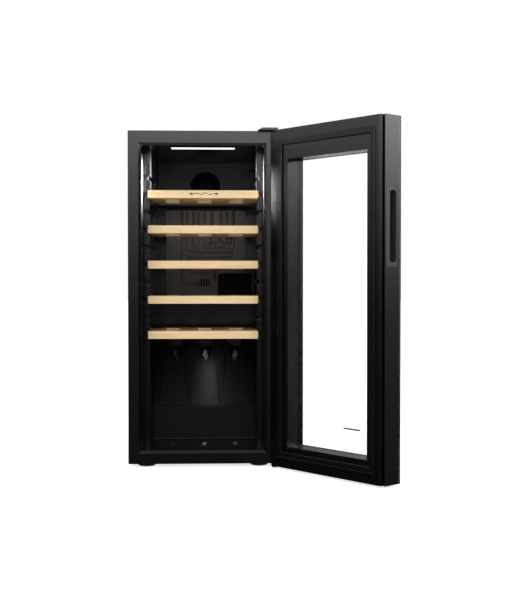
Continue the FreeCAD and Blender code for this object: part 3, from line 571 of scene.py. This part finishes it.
def glass_mark():
    """A plain grey bar low on the glass."""
    work = bmesh.new()
    from_hinge, up, length, height = 0.215, 0.109, 0.052, 0.0035
    outward, thickness = 0.0519, 0.0002
    extruded(work, pill(from_hinge, up, length, height), facing_out(outward), thickness)
    new_piece("glass_mark", work, "door", "spacer_metal", GREY_INK)


def display_marks():
    """Touch points and a level bar behind the glass of the control panel."""
    work = bmesh.new()
    first, step, up = 0.1415, 0.0178, 0.7633
    touch_radius, bar_length, bar_height = 0.0026, 0.014, 0.0052
    outward, thickness = 0.05195, 0.0001
    marks = 5
    for n in range(marks):
        from_hinge = first + n * step
        outline = circle(from_hinge, up, touch_radius)
        if n == marks // 2:
            outline = pill(from_hinge, up, bar_length, bar_height)
        extruded(work, outline, facing_out(outward), thickness)
    new_piece("display_marks", work, "door", "lamp_lens", MARKS)


def step_fillet():
    """The small hollow radius where the cabinet's floor meets the step."""
    work = bmesh.new()
    half_width, radius, steps = 0.1295, 0.0045, 8
    step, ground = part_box("bottle_rest")[0].y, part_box("floor_tray")[1].z
    arc = [(step - radius + radius * math.sin(a), ground + radius - radius * math.cos(a))
           for a in (math.pi / 2 * n / steps for n in range(steps + 1))]
    prism(work, *([(x, y, z) for y, z in arc + [(step, ground)]] for x in (-half_width, half_width)))
    smooth(new_piece("floor_step_radius", work, "cabinet", "liner_plastic", MATTE_LINER), 50)


def fan_shade_disc():
    """A dark disc of painted shade in the mouth of the duct behind the fan."""
    work = bmesh.new()
    low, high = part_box("fan_frame")
    mouth_radius, gap, thickness = 0.0379, 0.0004, 0.0003
    ring = circle((low.x + high.x) / 2, (low.z + high.z) / 2, mouth_radius, sides=40)
    extruded(work, ring, facing_front(high.y + gap), thickness)
    new_piece("fan_duct_shade_disc", work, "cabinet", "fan_plastic", PAINTED_SHADE)


def clip_ribs():
    """Three upright ribs on the capillary clip, as wide as the gaps between them."""
    work = bmesh.new()
    low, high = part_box("capillary_clip")
    raised, margin, corner = 0.0012, 0.002, 0.0006
    wide = (high.x - low.x) / 7
    for n in (1, 3, 5):
        slab(work, (low.x + n * wide, low.y - raised, low.z + margin),
             (low.x + (n + 1) * wide, low.y, high.z - margin), corner)
    new_piece("capillary_clip_ribs", work, "cabinet", "evaporator_metal")


def air_probe():
    """A small dark temperature probe at the fan panel's upper corner."""
    work = bmesh.new()
    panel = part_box("fan_panel")[0].y
    across, up = 0.1245, 0.7435
    for radius, start, deep in ((0.0046, 0.0, 0.003), (0.0032, 0.003, 0.011)):
        extruded(work, circle(across, up, radius), facing_front(panel - start), deep)
    smooth(new_piece("air_probe", work, "cabinet", "fan_plastic"), 40)


shelf_flourish()
glass_mark()
display_marks()
step_fillet()
air_probe()
fan_shade_disc()
clip_ribs()


# ---------------------------------------------------------------- floor, wall, world and camera

FLOOR_SIZE, FLOOR_GLOW = 40, 0.7
WALL_RADIUS, WALL_LOW, WALL_HIGH, WALL_STEPS = 3.2, -1.5, 3.5, 96
# the wall's brightness by height, then its share in the middle and how far that rises at the right
WALL_GLOW = ((-1.5, 0.03), (-0.3, 0.05), (0.1, 0.085), (0.35, 0.13), (0.65, 0.36), (0.97, 0.85), (1.2, 1.35),
             (1.7, 2.3), (2.4, 2.6), (3.5, 1.2))
WALL_MIDDLE, WALL_SLANT = 0.95, 0.62
# the world's brightness by a direction's height: the soft fill's, and what gloss sees past the glass from
# the right and from straight behind
FILL = ((-1.0, 0.86), (-0.2, 0.93), (0.2, 1.0), (1.0, 0.6))
BOUNCED = ((-1.0, 0.03), (-0.12, 0.08), (-0.05, 0.13), (0.0, 0.24), (0.05, 0.55), (0.1, 1.1), (0.2, 1.4),
           (1.0, 0.5))
BEHIND = ((-1.0, 0.0), (-0.16, 0.0), (-0.08, 1.0), (-0.02, 0.2), (0.03, 0.02), (1.0, 0.02))
# the share of each of the last two from left to right: its slope, its middle and its least
BOUNCED_SIDES, BEHIND_SIDES = (0.85, 0.15, 0.1), (-2.2, 1.0, 0.0)
FILL_STRENGTH, OVERHEAD, SEEN_THROUGH_GLASS, BACKDROP = 1.27, 0.25, 1.3, 1.0
CAMERA_PLACE, CAMERA_LENS = (0.0542, -2.7356, 0.4455), 63.4
CAMERA_TURN, CAMERA_TILT = math.radians(2.17), math.radians(1.07)


class Graph:
    """Short ways to join number nodes in a tree."""

    def __init__(self, tree):
        self.tree, self.join = tree, tree.links.new

    def maths(self, operation, *values):
        made = self.tree.nodes.new("ShaderNodeMath")
        made.operation = operation
        for socket, value in zip(made.inputs, values):
            if isinstance(value, float):
                socket.default_value = value
            else:
                self.join(value, socket)
        return made.outputs[0]

    def curve(self, value, points):
        """A smooth curve through (input, output) points."""
        low, high = points[0][0], points[-1][0]
        top = max(level for _, level in points)
        made = self.tree.nodes.new("ShaderNodeFloatCurve")
        along = self.maths("MULTIPLY_ADD", value, 1.0 / (high - low), -low / (high - low))
        self.join(along, made.inputs["Value"])
        line = made.mapping.curves[0]
        line.points[0].location = (0.0, points[0][1] / top)
        line.points[1].location = (1.0, points[-1][1] / top)
        for place, level in points[1:-1]:
            line.points.new((place - low) / (high - low), level / top)
        made.mapping.update()
        return self.maths("MULTIPLY", made.outputs["Value"], top)

    def height_and_side(self, output):
        """The Z and X of a texture coordinate."""
        place = self.tree.nodes.new("ShaderNodeTexCoord")
        split = self.tree.nodes.new("ShaderNodeSeparateXYZ")
        self.join(place.outputs[output], split.inputs[0])
        return split.outputs["Z"], split.outputs["X"]


def floor():
    """A pale floor that shows, but doesn't light the black surfaces from below."""
    bpy.ops.mesh.primitive_plane_add(size=FLOOR_SIZE, location=(0, 0, 0))
    ground = bpy.context.object
    ground.name = "floor"
    look = Shader("pale_floor").set(Roughness=0.6, Specular_IOR_Level=0.2, Emission_Strength=FLOOR_GLOW)
    look.colour(look.ramp(look.noise(2), (0.3, (0.90, 0.90, 0.90)), (0.7, (0.92, 0.92, 0.92))))
    look.set(Emission_Color=(1, 1, 1, 1))
    paint(ground, look)
    ground.visible_diffuse = ground.visible_glossy = ground.visible_transmission = False


def studio_wall():
    """A round wall that only gloss sees: bright high up, dark low down, and brighter to the right."""
    work = bmesh.new()
    turns = [2 * math.pi * n / WALL_STEPS for n in range(WALL_STEPS)]
    low, high = ([work.verts.new((WALL_RADIUS * math.cos(a), WALL_RADIUS * math.sin(a), z)) for a in turns]
                 for z in (WALL_LOW, WALL_HIGH))
    skin(work, low, high)
    wall = made_object("studio_wall", work)
    look = bpy.data.materials.new("studio_wall")
    look.use_nodes = True
    tree = look.node_tree
    tree.nodes.clear()
    graph = Graph(tree)
    height, side = graph.height_and_side("Object")
    sideways = graph.maths("MULTIPLY_ADD", side, WALL_SLANT / WALL_RADIUS, WALL_MIDDLE)
    level = graph.maths("MULTIPLY", graph.curve(height, WALL_GLOW), sideways)
    glow = tree.nodes.new("ShaderNodeEmission")
    graph.join(level, glow.inputs["Strength"])
    graph.join(glow.outputs[0], tree.nodes.new("ShaderNodeOutputMaterial").inputs[0])
    wall.data.materials.append(look)
    wall.visible_camera = wall.visible_diffuse = wall.visible_transmission = wall.visible_shadow = False


def world():
    """White behind the object and through its glass, an even soft fill, and little for gloss."""
    scene = bpy.context.scene
    scene.world = bpy.data.worlds.new("studio")
    scene.world.use_nodes = True
    tree = scene.world.node_tree
    tree.nodes.clear()
    graph = Graph(tree)
    path = tree.nodes.new("ShaderNodeLightPath").outputs
    height, side = graph.height_and_side("Generated")

    def background(strength):
        made = tree.nodes.new("ShaderNodeBackground")
        made.inputs["Color"].default_value = (1, 1, 1, 1)
        if isinstance(strength, float):
            made.inputs["Strength"].default_value = strength
        else:
            graph.join(strength, made.inputs["Strength"])
        return made.outputs[0]

    def choose(factor, first, second):
        made = tree.nodes.new("ShaderNodeMixShader")
        for socket, value in zip(made.inputs, (factor, first, second)):
            graph.join(value, socket)
        return made.outputs[0]

    def by_side(levels, slope, middle, least):
        """A curve by height, made stronger or weaker from left to right."""
        share = graph.maths("MAXIMUM", graph.maths("MULTIPLY_ADD", side, slope, middle), least)
        return graph.maths("MULTIPLY", graph.curve(height, levels), share)

    fill = graph.maths("MULTIPLY", graph.curve(height, FILL), FILL_STRENGTH)
    past_glass = graph.maths("ADD", by_side(BOUNCED, *BOUNCED_SIDES), by_side(BEHIND, *BEHIND_SIDES))
    bounces = graph.maths("ADD", path["Diffuse Depth"], path["Glossy Depth"])
    straight = graph.maths("MULTIPLY", path["Is Transmission Ray"], graph.maths("LESS_THAN", bounces, 0.5))
    seen = choose(path["Is Diffuse Ray"], background(OVERHEAD), background(fill))
    seen = choose(path["Is Transmission Ray"], seen, background(past_glass))
    seen = choose(straight, seen, background(SEEN_THROUGH_GLASS))
    seen = choose(path["Is Camera Ray"], seen, background(BACKDROP))
    graph.join(seen, tree.nodes.new("ShaderNodeOutputWorld").inputs[0])


def camera():
    """The photograph's view: almost straight on, level with the cabinet's middle."""
    data = bpy.data.cameras.new("view")
    data.lens = CAMERA_LENS
    seen = bpy.data.objects.new("view", data)
    seen.location = CAMERA_PLACE
    seen.rotation_euler = (math.pi / 2 - CAMERA_TILT, 0, -CAMERA_TURN)
    bpy.context.scene.collection.objects.link(seen)
    bpy.context.scene.camera = seen


floor()
studio_wall()
world()
camera()
bpy.context.scene.view_settings.view_transform = "Standard"


# ---------------------------------------------------------------- lamps

def area_light(name, place, target, size, power):
    """A rectangular lamp that gloss doesn't see."""
    data = bpy.data.lights.new(name, "AREA")
    data.shape = "RECTANGLE"
    data.size, data.size_y = size
    data.energy = power
    lamp = bpy.data.objects.new(name, data)
    lamp.visible_glossy = False
    lamp.location = place
    lamp.rotation_euler = (Vector(target) - Vector(place)).to_track_quat("-Z", "Y").to_euler()
    bpy.context.scene.collection.objects.link(lamp)
    return lamp


def only_for(lamp, obj, spread=180, glossy=False):
    """Keep a lamp's light to one object and to a cone in degrees, and the lamp out of sight."""
    lamp.visible_camera = lamp.visible_transmission = False
    lamp.visible_glossy = glossy
    lamp.data.spread = math.radians(spread)
    reach = bpy.data.collections.new(lamp.name + "_reach")
    reach.objects.link(obj)
    lamp.light_linking.receiver_collection = reach


SPILL_FROM, STRIP_Y, GUIDE_Y = 0.09, -0.172, -0.10
STRIP_SPILL, STRIP_SHARES, GUIDE_SPILL = 17.0, (1.25, 0.7), 3.0
STRIP_LAMP, GUIDE_LAMP = (0.03, 0.09), (0.04, 0.07)


def wall_spill():
    """The lamp bar's light on the liner's front strips, and on the guides' inner faces."""
    for name, side, share in zip(("left", "right"), (-1, 1), STRIP_SHARES):
        start = side * SPILL_FROM
        strip = area_light(name + "_spill", (start, STRIP_Y, 0.70), (side, STRIP_Y, 0.37), STRIP_LAMP,
                           STRIP_SPILL * share)
        only_for(strip, NODES["inner_liner"], spread=70)
        guide = area_light(name + "_guide_spill", (start, GUIDE_Y, 0.71), (side, GUIDE_Y, 0.69), GUIDE_LAMP,
                           GUIDE_SPILL)
        only_for(guide, FINISHED[name + "_shelf_guide"], spread=80)


REST_SPILL, PLATE_SPILL = 0.03, 0.05
REST_LAMP, PLATE_LAMP = (0.04, 0.16), (0.18, 0.03)


def rest_and_plate_spill():
    """The lamp bar's light on the bottle rest's middle channel, and on the plate's top."""
    x, y, under_shelf = 0.012, 0.03, 0.299
    only_for(area_light("rest_glow", (x, y, under_shelf), (x, y, 0), REST_LAMP, REST_SPILL),
             FINISHED["bottle_rest"], glossy=True)
    before_plate, up = 0.05, 0.605
    only_for(area_light("plate_glow", (0, before_plate, up), (0, 1, up), PLATE_LAMP, PLATE_SPILL), COLD_PLATE)


NECK_PITCH, GLINT_SHARES = 0.079, (0.15, 1.0, 0.35)
NECK_GLINT, NECK_LAMP = 0.0008, (0.002, 0.079)
WELL_GLINT, WELL_LAMP = 0.0000025, (0.008, 0.004)


def bottle_glints():
    """A glint in each neck hole, and one in each well of the floor: strongest in the middle."""
    for n, share in enumerate(GLINT_SHARES, 1):
        x = (n - 2) * NECK_PITCH
        neck = area_light(f"neck_glow_{n}", (x, 0.148, 0.299), (x, 0.148, 0.2), NECK_LAMP, NECK_GLINT * share)
        only_for(neck, FINISHED["bottle_rest"], glossy=True)
        well = area_light(f"well_glow_{n}", (x, -0.038, 0.066), (x, -0.113, 0.036), WELL_LAMP,
                          WELL_GLINT * share)
        only_for(well, NODES["floor_tray"], spread=16, glossy=True)


wall_spill()
rest_and_plate_spill()
bottle_glints()
area_light("top_softbox", (0.2, -1.4, 2.6), (0.0, 0, 0.5), (2.4, 1.4), 8)
area_light("right_softbox", (2.6, -1.2, 1.7), (0.2, -0.2, 0.5), (1.4, 1.6), 8)
area_light("left_softbox", (-2.6, -1.0, 1.9), (0, -0.1, 0.5), (1.2, 1.4), 5)
